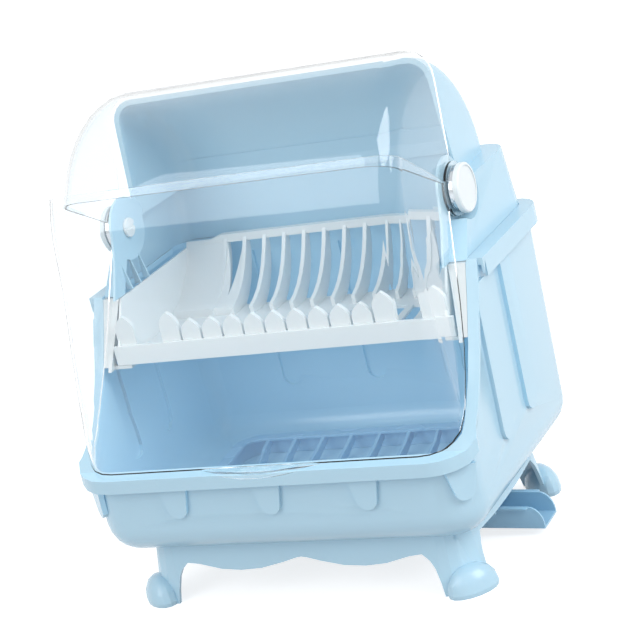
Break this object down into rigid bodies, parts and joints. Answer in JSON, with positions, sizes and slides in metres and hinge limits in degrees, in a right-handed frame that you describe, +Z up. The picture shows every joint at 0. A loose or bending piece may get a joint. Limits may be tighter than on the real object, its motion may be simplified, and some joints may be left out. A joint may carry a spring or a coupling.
{
  "type": "covered dish drainer",
  "caption": "Covered two-tier dish drainer: a tub on a legged stand with a plate rack, a bowl rack, a drain spout, a rear hood and two clear flip lids.",
  "frame": {"origin": "on the floor under the middle of the whole part, its depth counted to the pull tab's front", "axes": "+X to the drainer's right seen from the front, where the spout comes out; +Y towards the back; +Z up"},
  "size_m": [0.44, 0.3274, 0.5],
  "materials": {
    "pale_blue": "glossy pale blue moulded plastic",
    "deep_blue": "glossy pale blue moulded plastic, a shade deeper",
    "white": "satin white moulded plastic",
    "chrome": "bright chrome plating",
    "clear": "clear glossy plastic"
  },
  "bodies": {
    "stand": {"base_stand": "pale_blue"},
    "spout": {"drain_spout": "deep_blue"},
    "tub": {"lower_tub": "pale_blue", "rack_bracket_right": "white", "rack_bracket_left": "white"},
    "bowl_rack": {"bowl_rack": "deep_blue"},
    "plate_rack": {"plate_rack": "white"},
    "hood": {"rear_hood": "pale_blue", "hinge_bush_right": "white", "hinge_screw_right": "white", "hinge_ring_right": "chrome", "hinge_cap_right": "white", "hinge_bush_left": "white", "hinge_screw_left": "white", "hinge_ring_left": "chrome", "hinge_cap_left": "white"},
    "upper_lid": {"upper_lid": "clear"},
    "front_lid": {"front_lid": "clear"}
  },
  "joints": [
    {"name": "spout_slide", "type": "slide", "parent": "stand", "child": "spout", "axis": [0.9986, 0, -0.0523], "range_m": [-0.06, 0]},
    {"name": "tub_lift", "type": "slide", "parent": "stand", "child": "tub", "axis": [0, 0, 1], "range_m": [0, 0.04]},
    {"name": "bowl_rack_lift", "type": "slide", "parent": "tub", "child": "bowl_rack", "axis": [0, 0, 1], "range_m": [0, 0.06]},
    {"name": "plate_rack_draw", "type": "slide", "parent": "tub", "child": "plate_rack", "axis": [0, -1, 0], "range_m": [0, 0.02]},
    {"name": "hood_lift", "type": "slide", "parent": "tub", "child": "hood", "axis": [0, 0, 1], "range_m": [0, 0.06]},
    {"name": "upper_lid_hinge", "type": "hinge", "parent": "hood", "child": "upper_lid", "pos_m": [0, 0.02575, 0.362], "axis": [-1, 0, 0], "range_deg": [0, 60]},
    {"name": "front_lid_hinge", "type": "hinge", "parent": "hood", "child": "front_lid", "pos_m": [0, 0.02575, 0.362], "axis": [-1, 0, 0], "range_deg": [0, 135]}
  ]
}
